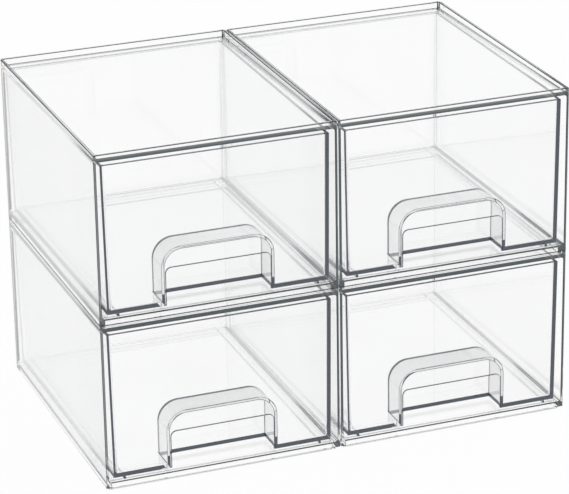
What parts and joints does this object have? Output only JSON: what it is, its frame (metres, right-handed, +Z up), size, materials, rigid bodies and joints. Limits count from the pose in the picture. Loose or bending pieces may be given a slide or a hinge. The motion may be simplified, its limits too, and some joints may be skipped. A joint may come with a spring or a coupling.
{
  "type": "stacking makeup organizer drawers",
  "caption": "Clear stacking drawer units for make-up: open-fronted moulded cases that nest on a rim, each with a sliding drawer that has an arched recessed finger pull.",
  "frame": {"origin": "centre of the stack's footprint, on the surface it stands on", "axes": "+Z up, -Y out of the open fronts, the way the drawers pull; +X to the right seen from the front"},
  "size_m": [0.3434, 0.22, 0.2434],
  "materials": {
    "clear_case": "gloss, clear moulded polystyrene or acrylic",
    "clear_drawer": "gloss, clear moulded polystyrene or acrylic"
  },
  "bodies": {
    "base": {"case_lower_left": "clear_case", "case_lower_right": "clear_case"},
    "upper_left": {"case_upper_left": "clear_case"},
    "upper_right": {"case_upper_right": "clear_case"},
    "tray_lower_left": {"drawer_lower_left": "clear_drawer"},
    "tray_lower_right": {"drawer_lower_right": "clear_drawer"},
    "tray_upper_left": {"drawer_upper_left": "clear_drawer"},
    "tray_upper_right": {"drawer_upper_right": "clear_drawer"}
  },
  "joints": [
    {"name": "slide_lower_left", "type": "slide", "parent": "base", "child": "tray_lower_left", "axis": [0, -1, 0], "range_m": [0, 0.2]},
    {"name": "slide_lower_right", "type": "slide", "parent": "base", "child": "tray_lower_right", "axis": [0, -1, 0], "range_m": [0, 0.2]},
    {"name": "lift_upper_left", "type": "slide", "parent": "base", "child": "upper_left", "axis": [0, 0, 1], "range_m": [0, 0.06]},
    {"name": "lift_upper_right", "type": "slide", "parent": "base", "child": "upper_right", "axis": [0, 0, 1], "range_m": [0, 0.06]},
    {"name": "slide_upper_left", "type": "slide", "parent": "upper_left", "child": "tray_upper_left", "axis": [0, -1, 0], "range_m": [0, 0.2]},
    {"name": "slide_upper_right", "type": "slide", "parent": "upper_right", "child": "tray_upper_right", "axis": [0, -1, 0], "range_m": [0, 0.2]}
  ]
}
